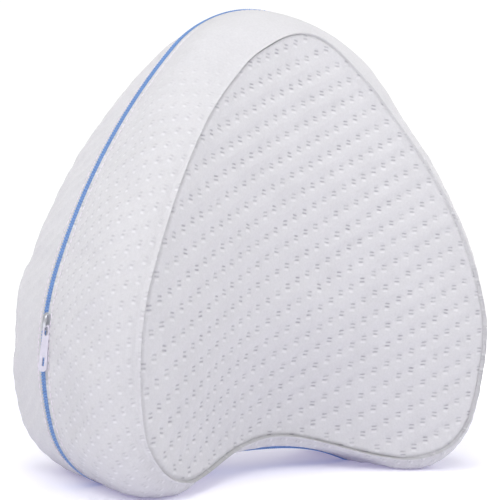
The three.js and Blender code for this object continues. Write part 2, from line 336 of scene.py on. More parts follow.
def settleCloth(material):
    points, faces, pinned = coarseShell()
    shell = makeMesh("clothShell", points, faces, material)
    smoother = shell.modifiers.new("smoother", "SUBSURF")
    smoother.levels = 1
    before, triangles = readShell(shell)
    group = shell.vertex_groups.new(name="sewn")
    group.add(pinned, 1.0, "REPLACE")
    cloth = shell.modifiers.new("settling", "CLOTH")   # worked out before the smoother
    bpy.context.view_layer.objects.active = shell
    bpy.ops.object.modifier_move_to_index(modifier="settling", index=0)
    rules = cloth.settings
    rules.quality = settle["quality"]
    rules.mass = settle["mass"]
    rules.tension_stiffness = settle["tension"]
    rules.compression_stiffness = settle["tension"]
    rules.shear_stiffness = settle["tension"] / 2
    rules.bending_stiffness = settle["bending"]
    rules.shrink_min = -settle["growth"]
    rules.use_pressure = True
    rules.uniform_pressure_force = settle["pressure"]
    rules.vertex_group_mass = "sewn"
    rules.effector_weights.gravity = 0
    cloth.point_cache.frame_start = 1
    cloth.point_cache.frame_end = settle["frames"]
    for frameNumber in range(1, settle["frames"] + 1):
        bpy.context.scene.frame_set(frameNumber)
    after, _ = readShell(shell)
    bpy.context.scene.frame_set(1)
    bpy.data.objects.remove(shell)
    moved = after - before
    size = np.linalg.norm(moved, axis=1, keepdims=True)
    print("cloth moved, mm: middle", round(float(np.median(size)), 2), "most", round(float(size.max()), 2))
    moved *= settle["limit"] * np.tanh(size / settle["limit"]) / np.maximum(size, 1e-6)
    return before, triangles, moved


# the settled movement at any point near the shell, blended over the nearest triangle
def settledMovement(points, shell):
    if shell is None:
        return np.zeros_like(points)
    before, triangles, moved = shell
    flat = points.reshape(-1, 3)
    tree = BVHTree.FromPolygons(before.tolist(), triangles.tolist(), all_triangles=True)
    found = [tree.find_nearest(point) for point in flat.tolist()]
    nearest = np.array([item[0] for item in found])
    corners = triangles[[item[2] for item in found]]
    first, second, third = (before[corners[:, i]] for i in range(3))
    edgeA, edgeB, reach = second - first, third - first, nearest - first
    aa, ab, bb = ((p * q).sum(1) for p, q in ((edgeA, edgeA), (edgeA, edgeB), (edgeB, edgeB)))
    ra, rb = (reach * edgeA).sum(1), (reach * edgeB).sum(1)
    scale = np.maximum(aa * bb - ab * ab, 1e-12)
    towardB = (bb * ra - ab * rb) / scale
    towardC = (aa * rb - ab * ra) / scale
    shares = np.stack([1 - towardB - towardC, towardB, towardC], 1)
    return (moved[corners] * shares[..., None]).sum(1).reshape(points.shape)


# Bands: the side wall's cloth over its half of the filling
band = {
    "stations": 880, "edgeSteps": [0, 0.35, 0.7, 1.1, 1.6, 2.2, 2.8, 3.4, 4.0, 4.6, 5.3, 6.1],
    "middleRows": 48, "lipRadius": 0.8, "hemWidth": 4.3, "hemEdge": 0.7, "hemHeight": 0.3,
    "topstitch": 3.3, "creaseDepth": 0.3, "creaseWidth": 0.45,
    "seamTuck": 1.1, "seamReach": 1.1, "ridgeAt": 2.4, "ridgeHeight": 0.25, "ridgeWidth": 1.4,
    "dotPeriod": 87, "columnWidth": 4.7, "hidden": [1, 0.85, 0.7, 0.55, 0.4, 0.2],
    "hemApex": (0.1, 0.25), "calmApex": (0.1, 0.3), "clearZip": (4.5, 9), "clearSeam": (4, 9),
    "hemPuckers": (4, 5.5), "freeZip": (5, 16), "freeSeam": (1, 7), "freeApex": (0.05, 0.25),
    "overlap": 0.25, "samples": 241, "topEdge": 0.4, "underEdge": 0.7,
    "waveSeed": 0.6, "seamSeed": 1.3, "hemSeed": 4.1, "hemPuckerPace": 1.2,
}
bandStep = 2 * halfLength / band["dotPeriod"]   # from one slanting row of dots to the next


# distances from the zip for each row: fixed steps near both edges, even ones between
def bandRows(width):
    steps = np.array(band["edgeSteps"])
    inner = np.linspace(0, 1, band["middleRows"] + 2)[1:-1]
    fromZip = np.repeat(steps[:, None], len(width), 1)
    fromSeam = width[None] - steps[::-1, None]
    middle = fromZip[-1] + (fromSeam[0] - fromZip[-1]) * inner[:, None]
    return np.concatenate([fromZip, middle, fromSeam])


# the even wall points for each row of the strip, with their distances from the zip
def bandGrid(along):
    shares = np.linspace(0, 1, band["samples"])
    fine = wallPoint(along[None] + 0 * shares[:, None], shares[:, None] + 0 * along[None])
    steps = np.linalg.norm(np.diff(fine, axis=0), axis=-1)
    reached = np.concatenate([np.zeros((1, len(along))), np.cumsum(steps, 0)])
    rows = bandRows(reached[-1])
    share = np.stack([np.interp(rows[:, i], reached[:, i], shares) for i in range(len(along))], 1)
    return rows, wallPoint(along[None] + 0 * share, share)


# how far the cloth stands out: lip, hem, stitch crease, seam, ribs, waves and puckers
def bandRelief(along, rows, points, lattice):
    fromApex = np.abs(along)[None]
    fromSeam = rows[-1] - rows
    lengthAlong = along[None] * halfLength
    lip = np.clip(1 - rows / band["lipRadius"], 0, 1)
    raised = -band["lipRadius"] * (1 - np.sqrt(1 - lip**2))
    hemEnd, hemEdge = band["hemWidth"], band["hemEdge"]
    hem = band["hemHeight"] * (1 - smoothStep(rows, hemEnd - hemEdge, hemEnd + hemEdge))
    raised += hem * smoothStep(fromApex, *band["hemApex"])
    raised -= band["creaseDepth"] * np.exp(-((rows - band["topstitch"]) / band["creaseWidth"])**2)
    raised -= band["seamTuck"] * seamShare(along)[None] * np.exp(-(fromSeam / band["seamReach"])**2)
    raised += band["ridgeHeight"] * np.exp(-((fromSeam - band["ridgeAt"]) / band["ridgeWidth"])**2)
    middle = smoothStep(rows, *band["clearZip"]) * smoothStep(fromSeam, *band["clearSeam"])
    middle = middle * smoothStep(fromApex, *band["calmApex"])
    raised += middle * puffs(lattice, clothLook["bandPuff"])
    raised += middle * slowWaves(points, band["waveSeed"])
    besideSeam = puckers(lengthAlong, fromSeam, band["seamSeed"])
    besideSeam = besideSeam * smoothStep(fromSeam, *clothLook["seamClear"])
    besideHem = puckers(lengthAlong * band["hemPuckerPace"], rows, band["hemSeed"])
    besideHem = besideHem * smoothStep(rows, *band["hemPuckers"])
    return raised + clothLook["bandPucker"] * (besideSeam + besideHem)


def bandSurface(shell):
    along = np.linspace(-1, 1, band["stations"], endpoint=False)
    rows, points = bandGrid(along)
    column = rows / band["columnWidth"]
    dotRow = along[None] * halfLength / bandStep - column / 3
    lattice = np.stack([column, dotRow], -1)
    raised = bandRelief(along, rows, points, lattice)
    freed = smoothStep(rows, *band["freeZip"]) * smoothStep(rows[-1] - rows, *band["freeSeam"])
    freed = freed * smoothStep(np.abs(along), *band["freeApex"])[None]
    moved = settledMovement(points, shell) * freed[..., None]
    points = points + moved + gridNormals(points) * raised[..., None]
    points[..., 1] = np.minimum(points[..., 1], band["overlap"] - form["grooveHalf"])
    points[..., 2] = np.maximum(points[..., 2], 0)
    return along, points, lattice


def bandMesh(name, behind, material, shell):
    along, surface, lattice = bandSurface(shell)
    sunk = form["cloth"] + form["innerGap"]
    loops = [groovePoint(along, form["middleGap"], form["grooveDepth"])]
    loops.append(groovePoint(along, form["grooveHalf"], form["grooveDepth"]))
    first = len(loops)
    loops.extend(surface)
    loops.append(facePoint(along, 1, sunk, band["topEdge"]))
    loops.extend(facePoint(along, share, sunk, band["underEdge"]) for share in band["hidden"])
    count = len(along)
    grid = np.empty((len(loops), count, 2))
    grid[:first] = lattice[0]
    grid[first:first + len(surface)] = lattice
    grid[first + len(surface):] = lattice[-1]
    across, up = form["faceMiddle"]
    poles = [[across, -form["middleGap"], up], faceMiddle(sunk)]
    points = np.concatenate([np.array(loops).reshape(-1, 3), poles])
    numbers = np.arange(len(loops) * count).reshape(len(loops), count)
    faces = fan(numbers[0], len(points) - 2)
    for near, far in zip(numbers[:-1], numbers[1:]):
        faces.extend(bridgeLoops(near, far))
    faces.extend(fan(numbers[-1][::-1], len(points) - 1))
    uv = np.concatenate([grid.reshape(-1, 2), np.full((2, 2), 0.5)])
    return makeMesh(name, turnRound(points, behind), faces, material, uv, band["dotPeriod"])


# Panels: one cloth on each face, following the channel
panel = {
    "across": 220, "down": 270, "upperCorner": 0.17, "lowerCorner": 0.8,
    "seamTuck": 1.0, "seamReach": 1.1, "shoulder": 2.6, "shoulderHeight": 0.12, "shoulderWidth": 1.5,
    "columnStep": (6.215, 3.696), "rowStep": (1.743, -10.452), "start": (-5.375, 112.744),
    "clearSeam": (3, 9), "lowest": 0.3, "underEdge": 0.5, "hidden": [1, 0.85, 0.7, 0.55, 0.4, 0.2],
    "samples": 60, "slopeStep": 0.05, "waveSeed": 2.2, "seamSeed": 2.4,
}


# the panel's edge as four runs between its corners, then a patch stretched between them
def panelPatch():
    upper, lower = panel["upperCorner"], panel["lowerCorner"]
    acrossShare = np.linspace(0, 1, panel["across"] + 1)
    downShare = np.linspace(0, 1, panel["down"] + 1)
    topAlong = -upper + 2 * upper * acrossShare
    rightAlong = upper + (lower - upper) * downShare
    bottomAlong = -lower - 2 * (1 - lower) * acrossShare
    bottomAlong = np.where(bottomAlong < -1, bottomAlong + 2, bottomAlong)
    edge = lambda along: facePoint(along, 1, 0, form["seamGap"])[:, [0, 2]]
    top, right, bottom, left = edge(topAlong), edge(rightAlong), edge(bottomAlong), edge(-rightAlong)
    u, v = acrossShare[None, :, None], downShare[:, None, None]
    patch = (1 - v) * top[None] + v * bottom[None] + (1 - u) * left[:, None] + u * right[:, None]
    patch = patch - ((1 - u) * (1 - v) * top[0] + u * (1 - v) * top[-1])
    patch = patch - ((1 - u) * v * bottom[0] + u * v * bottom[-1])
    ringAlong = np.concatenate([topAlong, rightAlong[1:], bottomAlong[-2::-1], -rightAlong[-2:0:-1]])
    return patch, ringAlong


# how far the cloth runs from the middle line, measured over the channel at one height
def lengthOver(across, up):
    count = panel["samples"]
    x = across[..., None] * np.linspace(0, 1, count)
    depth = halfDepth(x, np.repeat(up[..., None], count, -1))
    return np.sign(across) * np.hypot(np.diff(x, axis=-1), np.diff(depth, axis=-1)).sum(-1)


def faceNormals(across, up):
    step = panel["slopeStep"]
    acrossSlope = (halfDepth(across + step, up) - halfDepth(across - step, up)) / (2 * step)
    upSlope = (halfDepth(across, up + step) - halfDepth(across, up - step)) / (2 * step)
    normal = np.stack([-acrossSlope, -np.ones_like(across), -upSlope], -1).reshape(-1, 3)
    return normal / np.linalg.norm(normal, axis=-1, keepdims=True)


# each point's distance from the seam, and the number of the seam point that is nearest, in batches
def nearestRim(flat, rim):
    distances, nearest = [], []
    for batch in np.array_split(flat, panel["samples"]):
        squares = ((batch[:, None] - rim[None])**2).sum(-1)
        distances.append(np.sqrt(squares).min(1))
        nearest.append(squares.argmin(1))
    return np.concatenate(distances), np.concatenate(nearest)


def panelRelief(flat, lattice, fromSeam, along):
    raised = -panel["seamTuck"] * seamShare(along) * np.exp(-(fromSeam / panel["seamReach"])**2)
    raised += panel["shoulderHeight"] * np.exp(-((fromSeam - panel["shoulder"]) / panel["shoulderWidth"])**2)
    middle = smoothStep(fromSeam, *panel["clearSeam"])
    raised += middle * (puffs(lattice, clothLook["puff"]) + slowWaves(flat, panel["waveSeed"]))
    beside = puckers(along * halfLength, fromSeam, panel["seamSeed"])
    return raised + beside * smoothStep(fromSeam, *clothLook["seamClear"])


def panelMesh(name, behind, material, shell):
    patch, ringAlong = panelPatch()
    across, up = patch[..., 0], patch[..., 1]
    flat = np.stack([across, -halfDepth(across, up), up], -1).reshape(-1, 3)
    steps = np.array([panel["columnStep"], panel["rowStep"]]).T
    cloth = np.stack([lengthOver(across, up), up], -1)
    lattice = ((cloth - np.array(panel["start"])) @ np.linalg.inv(steps).T).reshape(-1, 2)
    numbers = np.arange(across.size).reshape(across.shape)
    ring = np.concatenate([numbers[0], numbers[1:, -1], numbers[-1, -2::-1], numbers[-2:0:-1, 0]])
    fromSeam, nearest = nearestRim(flat, flat[ring])
    raised = panelRelief(flat, lattice, fromSeam, ringAlong[nearest])
    outer = flat + settledMovement(flat, shell) + faceNormals(across, up) * raised[:, None]
    outer[:, 2] = np.maximum(outer[:, 2], panel["lowest"])
    inner = [facePoint(ringAlong, share, form["cloth"], panel["underEdge"]) for share in panel["hidden"]]
    points = np.concatenate([outer, *inner, [faceMiddle(form["cloth"])]])
    corners = numbers[:-1, :-1], numbers[1:, :-1], numbers[1:, 1:], numbers[:-1, 1:]
    faces = np.stack([corner.ravel() for corner in corners], 1).tolist()
    loops = [ring, *(len(outer) + np.arange(len(inner) * len(ring)).reshape(len(inner), -1))]
    for near, far in zip(loops[:-1], loops[1:]):
        faces.extend(bridgeLoops(near, far))
    faces.extend(fan(loops[-1][::-1], len(points) - 1))
    uv = np.concatenate([lattice, *[lattice[ring]] * len(inner), [lattice[0]]])
    return makeMesh(name, turnRound(points, behind), faces, material, uv)


# Shader helpers
def nodeIn(tree, kind, values=None, **settings):
    node = tree.nodes.new(kind)
    for key, value in settings.items():
        setattr(node, key, value)
    for key, value in (values or {}).items():
        if isinstance(value, bpy.types.NodeSocket):
            tree.links.new(value, node.inputs[key])
        else:
            node.inputs[key].default_value = value
    return node


def calc(tree, operation, *values):
    node = nodeIn(tree, "ShaderNodeMath", dict(enumerate(values)), operation=operation)
    return node.outputs[0]


# sum, difference and product in one tree
def arithmetic(tree):
    plus = lambda a, b: calc(tree, "ADD", a, b)
    minus = lambda a, b: calc(tree, "SUBTRACT", a, b)
    times = lambda a, b: calc(tree, "MULTIPLY", a, b)
    return plus, minus, times


def noise(tree, place, scale, detail):
    values = {"Vector": place, "Scale": scale, "Detail": detail}
    return nodeIn(tree, "ShaderNodeTexNoise", values).outputs["Fac"]


def fade(tree, value, low, high):
    values = {"Value": value, "From Min": low, "From Max": high, "To Min": 1.0, "To Max": 0.0}
    return nodeIn(tree, "ShaderNodeMapRange", values, interpolation_type="SMOOTHSTEP").outputs["Result"]


def newGroup(name, inputs, outputs):
    tree = bpy.data.node_groups.new(name, "ShaderNodeTree")
    for label, kind, value in inputs:
        socket = tree.interface.new_socket(label, in_out="INPUT", socket_type=kind)
        if value is not None:
            socket.default_value = value
    for label, kind in outputs:
        tree.interface.new_socket(label, in_out="OUTPUT", socket_type=kind)
    return tree, tree.nodes.new("NodeGroupInput").outputs, tree.nodes.new("NodeGroupOutput").inputs


# the knit: sizes in millimetres, turns in radians per millimetre, noise scales per metre
weave = {
    "wobbleScale": 90.0, "wobble": 0.16, "patchScale": 240.0, "patchFrom": 0.15, "patchGain": 1.75,
    "dashEnd": (-0.9, 0.4), "dashSide": (0.05, 0.7), "paintedHighlightAbove": 2.3, "paintedHighlightSide": (0.15, 0.9),
    "dimple": (0.3, 3.4), "wales": 7.4, "courses": 8.6, "zigzag": 2.4,
    "mottleScale": 70.0, "mottle": 0.10, "fibreScale": 900.0, "fibre": 0.16, "stitchGrey": 0.012,
    "roughness": 0.9, "shineGloss": 0.2,
    "dimpleDepth": 0.3, "dashDepth": 0.16, "stitchHeight": 0.035, "fibreHeight": 0.05,
}


# pairs of short sunk dashes on a slanting grid, with painted shade in them and a painted highlight beside
# them, fine stitches, faint mottling
def knitGroup():
    floatKind, vectorKind, colorKind = "NodeSocketFloat", "NodeSocketVector", "NodeSocketColor"
    tree, given, made = newGroup("Dotted Knit", [
        ("Grid", vectorKind, None), ("Place", vectorKind, None),
        ("Cloth Color", colorKind, None), ("Dash Shade Color", colorKind, None),
        ("Column Across", floatKind, 6.2), ("Column Up", floatKind, 3.7),
        ("Row Across", floatKind, 1.7), ("Row Up", floatKind, -10.5),
        ("Dash Length", floatKind, 2.2), ("Dash Apart", floatKind, 1.9), ("Dot Strength", floatKind, 1.0),
        ("Dash Shade Darkness", floatKind, 1.0), ("Painted Highlight", floatKind, 0.15),
    ], [("Color", colorKind), ("Roughness", floatKind), ("Height", floatKind)])
    plus, minus, times = arithmetic(tree)
    size = lambda value: calc(tree, "ABSOLUTE", value)
    spread = lambda value, amount: times(minus(value, 0.5), amount)
    total = lambda a, b, c, d: plus(times(a, b), times(c, d))
    split = nodeIn(tree, "ShaderNodeSeparateXYZ", {"Vector": given["Grid"]}).outputs
    offset = spread(noise(tree, given["Place"], weave["wobbleScale"], 1.0), weave["wobble"])
    patchy = noise(tree, given["Place"], weave["patchScale"], 1.0)
    mottle = noise(tree, given["Place"], weave["mottleScale"], 4.0)
    fibre = noise(tree, given["Place"], weave["fibreScale"], 3.0)   # the last number is the noise's detail

    # where this point lies from the nearest dot, across and up
    column, row = plus(split["X"], offset), minus(split["Y"], offset)
    columnLeft, rowLeft = minus(column, calc(tree, "ROUND", column)), minus(row, calc(tree, "ROUND", row))
    across = total(columnLeft, given["Column Across"], rowLeft, given["Row Across"])
    up = total(columnLeft, given["Column Up"], rowLeft, given["Row Up"])

    # masks for the two dashes, the painted highlight above them, which is also made glossier, and the dimple
    # round them
    inLength = fade(tree, minus(size(across), times(given["Dash Length"], 0.5)), *weave["dashEnd"])
    fromDash = size(minus(size(up), times(given["Dash Apart"], 0.5)))
    dash = times(times(inLength, fade(tree, fromDash, *weave["dashSide"])), given["Dot Strength"])
    fromPaintedHighlight = size(plus(up, weave["paintedHighlightAbove"]))
    paintedHighlight = times(times(inLength, fade(tree, fromPaintedHighlight, *weave["paintedHighlightSide"])), given["Dot Strength"])
    fromDot = calc(tree, "SQRT", total(across, across, up, up))
    dimple = times(fade(tree, fromDot, *weave["dimple"]), given["Dot Strength"])

    # fine stitches: upright wales crossed by zigzag courses
    clothAcross = total(column, given["Column Across"], row, given["Row Across"])
    clothUp = total(column, given["Column Up"], row, given["Row Up"])
    wales = calc(tree, "SINE", times(clothAcross, weave["wales"]))
    zigzag = times(size(wales), weave["zigzag"])
    courses = calc(tree, "SINE", plus(times(clothUp, weave["courses"]), zigzag))
    stitches = times(plus(wales, courses), 0.5)

    grey = plus(spread(mottle, weave["mottle"]), spread(fibre, weave["fibre"]))
    grey = plus(grey, times(stitches, weave["stitchGrey"]))
    # a painted highlight: the cloth's colour is lightened by each pair of dashes
    grey = plus(plus(grey, times(paintedHighlight, given["Painted Highlight"])), 1.0)
    shaded = nodeIn(tree, "ShaderNodeVectorMath", {0: given["Cloth Color"], "Scale": grey}, operation="SCALE")
    # the dashes' darker colour is partly the knit's own mark and partly painted shade in the sunk dashes
    uneven = times(minus(patchy, weave["patchFrom"]), weave["patchGain"])
    dashShadeDarkness = times(times(dash, uneven), given["Dash Shade Darkness"])
    mixed = nodeIn(tree, "ShaderNodeMix", {"Factor": dashShadeDarkness}, data_type="RGBA")
    tree.links.new(shaded.outputs["Vector"], mixed.inputs["A"])
    tree.links.new(given["Dash Shade Color"], mixed.inputs["B"])
    tree.links.new(mixed.outputs["Result"], made["Color"])
    tree.links.new(minus(weave["roughness"], times(paintedHighlight, weave["shineGloss"])), made["Roughness"])
    height = plus(times(dimple, -weave["dimpleDepth"]), times(dash, -weave["dashDepth"]))
    height = plus(height, times(stitches, weave["stitchHeight"]))
    tree.links.new(plus(height, times(fibre, weave["fibreHeight"])), made["Height"])
    return tree


knitTree = knitGroup()


def baseMaterial(name, values):
    material = bpy.data.materials.new(name)
    material.use_nodes = True
    tree = material.node_tree
    shader = tree.nodes["Principled BSDF"]
    for key, value in values.items():
        shader.inputs[key].default_value = value
    return material, tree, shader


def addBump(tree, shader, height, distance):
    bump = nodeIn(tree, "ShaderNodeBump", {"Height": height, "Distance": distance, "Strength": 1.0})
    tree.links.new(bump.outputs["Normal"], shader.inputs["Normal"])


# the dashes' colour is partly the knit's own mark and partly painted shade in the sunk dashes
knit = {"color": (0.628, 0.622, 0.645, 1), "dashShadeColor": (0.27, 0.26, 0.31, 1), "dashApart": 1.8}
knitShader = {"Sheen Weight": 0.25, "Sheen Roughness": 0.5, "Specular IOR Level": 0.25}
# each piece gets its own painted light: darker painted shade in the dashes on the faces, a brighter painted
# highlight on the front band, and weaker dots all round on the back band
panelDots = {"length": 3.1, "strength": 1.0, "dashShadeDarkness": 0.75, "paintedHighlight": 0.11}
bandDots = {"length": 2.0, "strength": 0.9, "dashShadeDarkness": 0.35, "paintedHighlight": 0.17, "fade": (0.15, 0.24)}
backBandDots = {"length": 2.0, "strength": 0.4, "dashShadeDarkness": 0.2, "paintedHighlight": 0.1, "fade": (0.15, 0.24)}


# the dots can fade out with height, from one level (metres) to another
def knitMaterial(name, columnStep, rowStep, dots):
    material, tree, shader = baseMaterial(name, knitShader)
    place = nodeIn(tree, "ShaderNodeTexCoord").outputs["Object"]
    strength = dots["strength"]
    if "fade" in dots:
        level = nodeIn(tree, "ShaderNodeSeparateXYZ", {"Vector": place}).outputs["Z"]
        strength = calc(tree, "MULTIPLY", fade(tree, level, *dots["fade"]), strength)
    cloth = nodeIn(tree, "ShaderNodeGroup", {
        "Grid": nodeIn(tree, "ShaderNodeUVMap", uv_map="clothGrid").outputs["UV"], "Place": place,
        "Cloth Color": knit["color"], "Dash Shade Color": knit["dashShadeColor"],
        "Column Across": columnStep[0], "Column Up": columnStep[1],
        "Row Across": rowStep[0], "Row Up": rowStep[1],
        "Dash Length": dots["length"], "Dash Apart": knit["dashApart"], "Dot Strength": strength,
        "Dash Shade Darkness": dots["dashShadeDarkness"], "Painted Highlight": dots["paintedHighlight"],
    }, node_tree=knitTree)
    tree.links.new(cloth.outputs["Color"], shader.inputs["Base Color"])
    tree.links.new(cloth.outputs["Roughness"], shader.inputs["Roughness"])
    addBump(tree, shader, cloth.outputs["Height"], metre)
    return material


# an even colour that varies a little, with a fine uneven surface
def mottledGroup():
    floatKind, vectorKind, colorKind = "NodeSocketFloat", "NodeSocketVector", "NodeSocketColor"
    tree, given, made = newGroup("Mottled Surface", [
        ("Place", vectorKind, None), ("Surface Color", colorKind, None),
        ("Variation", floatKind, 0.1), ("Grain Scale", floatKind, 500.0),
    ], [("Color", colorKind), ("Height", floatKind)])
    plus, minus, times = arithmetic(tree)
    grain = noise(tree, given["Place"], given["Grain Scale"], 4.0)
    level = plus(times(times(minus(grain, 0.5), given["Variation"]), 4.0), 1.0)
    values = {0: given["Surface Color"], "Scale": level}
    shaded = nodeIn(tree, "ShaderNodeVectorMath", values, operation="SCALE")
    tree.links.new(shaded.outputs["Vector"], made["Color"])
    tree.links.new(grain, made["Height"])
    return tree


mottledTree = mottledGroup()
finishColumns = ("color", "variation", "grain", "bump", "roughness")
finishes = {
    "tape": ((0.13, 0.26, 0.56), 0.12, 900.0, 0.0002, 0.75),
    "coil": ((0.165, 0.315, 0.63), 0.10, 1200.0, 0.0001, 0.45),
    "thread": ((0.80, 0.74, 0.82), 0.06, 1500.0, 0.0001, 0.7),
    "metal": ((0.62, 0.63, 0.67), 0.05, 600.0, 0.00002, 0.32),
    "enamel": ((0.62, 0.60, 0.69), 0.05, 500.0, 0.00001, 0.35),
    "floor": ((0.93, 0.93, 0.93), 0.01, 2.0, 0.00001, 0.9),
}


def mottledMaterial(name, finish, metallic=0.0):
    look = dict(zip(finishColumns, finishes[finish]))
    material, tree, shader = baseMaterial(name, {"Roughness": look["roughness"], "Metallic": metallic})
    surface = nodeIn(tree, "ShaderNodeGroup", {
        "Place": nodeIn(tree, "ShaderNodeTexCoord").outputs["Object"],
        "Surface Color": (*look["color"], 1), "Variation": look["variation"], "Grain Scale": look["grain"],
    }, node_tree=mottledTree)
    tree.links.new(surface.outputs["Color"], shader.inputs["Base Color"])
    addBump(tree, shader, surface.outputs["Height"], look["bump"])
    return material


# Zip: the tape, and two rows of coil teeth on it
zipParts = {
    "stations": 440, "halfWidth": 2.9, "floor": 2.8, "coilCenter": 1.42,
    "riseAlong": [0, 0.14, 0.3, 0.75, 0.9, 1], "riseRows": [1.9, 1.4, 0.8, 0.6, 1.1, 2.4],
    "tapeDrop": 0.45, "tapeEdge": [(0, 0.5), (0.3, 0.1), (0.8, 0), (2.4, 0), (2.75, 0.12)],
    "teeth": 580, "toothLength": 2.8, "toothWidth": 1.05, "toothHeight": 1.1,
}
barShape = {"along": [-0.5, -0.42, -0.3, 0.3, 0.42, 0.5], "size": [0.45, 0.85, 1, 1, 0.85, 0.45], "sides": 8}


def zipInset(along):
    return -readTable(zipParts["riseAlong"], zipParts["riseRows"], np.abs(along))


# a bar with blunt ends, for one tooth or one stitch
def roundedBar(name, length, width, height, material):
    sides = barShape["sides"]
    turn = np.linspace(0, 2 * np.pi, sides, endpoint=False)
    loops = [
        np.stack([np.full(sides, x * length), np.cos(turn) * width / 2 * s, np.sin(turn) * height / 2 * s], 1)
        for x, s in zip(barShape["along"], barShape["size"])
    ]
    numbers = np.arange(len(loops) * sides).reshape(-1, sides)
    faces = [numbers[0][::-1].tolist(), numbers[-1].tolist()]
    for near, far in zip(numbers[:-1], numbers[1:]):
        faces.extend(bridgeLoops(near, far))
    return makeMesh(name, np.concatenate(loops), faces, material)


# points on a path, each carrying its outward direction
def pathPoints(name, places, outward):
    mesh = bpy.data.meshes.new(name)
    mesh.from_pydata((places * metre).tolist(), [], [])
    attribute = mesh.attributes.new("outward", "FLOAT_VECTOR", "POINT")
    attribute.data.foreach_set("vector", outward.astype(np.float32).ravel())
    return addObject(name, mesh)


# one shape repeated on a path: its Z follows the outward direction, turning about Y only
def repeatTree():
    tree = bpy.data.node_groups.new("Repeat On Path", "GeometryNodeTree")
    for label, kind in (("Path", "Geometry"), ("Shape", "Object"), ("Finish", "Material")):
        tree.interface.new_socket(label, in_out="INPUT", socket_type="NodeSocket" + kind)
    tree.interface.new_socket("Result", in_out="OUTPUT", socket_type="NodeSocketGeometry")
    given = tree.nodes.new("NodeGroupInput").outputs
    made = tree.nodes.new("NodeGroupOutput").inputs
    outward = nodeIn(tree, "GeometryNodeInputNamedAttribute", {"Name": "outward"}, data_type="FLOAT_VECTOR")
    facing = {"Vector": outward.outputs["Attribute"]}
    turned = nodeIn(tree, "FunctionNodeAlignRotationToVector", facing, axis="Z", pivot_axis="Y")
    shape = nodeIn(tree, "GeometryNodeObjectInfo", {"Object": given["Shape"]})
    placed = {"Points": given["Path"], "Instance": shape.outputs["Geometry"]}
    copies = nodeIn(tree, "GeometryNodeInstanceOnPoints", {**placed, "Rotation": turned.outputs["Rotation"]})
    real = nodeIn(tree, "GeometryNodeRealizeInstances", {"Geometry": copies.outputs["Instances"]})
    covered = {"Geometry": real.outputs["Geometry"], "Material": given["Finish"]}
    finished = nodeIn(tree, "GeometryNodeSetMaterial", covered)
    tree.links.new(finished.outputs["Geometry"], made["Result"])
    return tree


def repeatOnPath(name, tree, path, shape, material):
    modifier = path.modifiers.new("repeat", "NODES")
    modifier.node_group = tree
    for item in tree.interface.items_tree:
        if item.in_out == "INPUT" and item.name == "Shape":
            modifier[item.identifier] = shape
        if item.in_out == "INPUT" and item.name == "Finish":
            modifier[item.identifier] = material
    mesh = plainMesh(name, path)
    smoothShading(mesh)
    bpy.data.objects.remove(path)
    bpy.data.objects.remove(shape)
    return addObject(name, mesh)


# the tape's section runs from the front edge over the top to the back edge, then under
def tapeMesh(name, material):
    along = np.linspace(-1, 1, zipParts["stations"], endpoint=False)
    top = zipInset(along) + zipParts["tapeDrop"]
    half = zipParts["halfWidth"]
    front = [(half, np.full(len(along), zipParts["floor"]))]
    front += [(half - fromEdge, top + below) for fromEdge, below in zipParts["tapeEdge"]]
    section = front + [(-fromMiddle, inset) for fromMiddle, inset in reversed(front)]
    loops = [groovePoint(along, fromMiddle, inset) for fromMiddle, inset in section]
    numbers = np.arange(len(loops) * len(along)).reshape(len(loops), -1)
    faces = []
    for near, far in zip(numbers, np.roll(numbers, -1, axis=0)):
        faces.extend(bridgeLoops(far, near))
    return makeMesh(name, np.concatenate(loops), faces, material)


def outwardAt(along):
    _, _, outAcross, outUp = station(along)
    return np.stack([outAcross, 0 * outUp, outUp], -1)


# the two sides' teeth stand half a step apart, so that they mesh
def coilTeeth(name, tree, material):
    count, half = zipParts["teeth"], zipParts["toothHeight"] / 2
    places, outwards = [], []
    for side in (-1, 1):
        along = -1 + 2 * (np.arange(count) + 0.25 * side) / count
        along = np.where(along < -1, along + 2, along)
        places.append(groovePoint(along, side * zipParts["coilCenter"], zipInset(along) + half, half))
        outwards.append(outwardAt(along))
    path = pathPoints(name + "Path", np.concatenate(places), np.concatenate(outwards))
    length, width = zipParts["toothLength"], zipParts["toothWidth"]
    tooth = roundedBar(name + "Shape", length, width, zipParts["toothHeight"], material)
    tooth.data.transform(Matrix.Rotation(math.pi / 2, 4, "Z"))
    return repeatOnPath(name, tree, path, tooth, material)


# Topstitching along both hems
stitch = {"count": 250, "length": 2.5, "width": 0.42, "height": 0.42, "lift": 0.1}


def topstitches(name, tree, material):
    count = stitch["count"]
    along = -1 + 2 * (np.arange(count) + 0.5) / count
    outward = outwardAt(along)
    places = []
    for side in (-1, 1):
        place = wallPoint(along, np.zeros(count)) + outward * stitch["lift"]
        place[:, 1] = side * (form["grooveHalf"] + band["topstitch"])
        place[:, 2] = np.maximum(place[:, 2], stitch["height"] / 2)
        places.append(place)
    path = pathPoints(name + "Path", np.concatenate(places), np.tile(outward, (2, 1)))
    thread = roundedBar(name + "Shape", stitch["length"], stitch["width"], stitch["height"], material)
    return repeatOnPath(name, tree, path, thread, material)


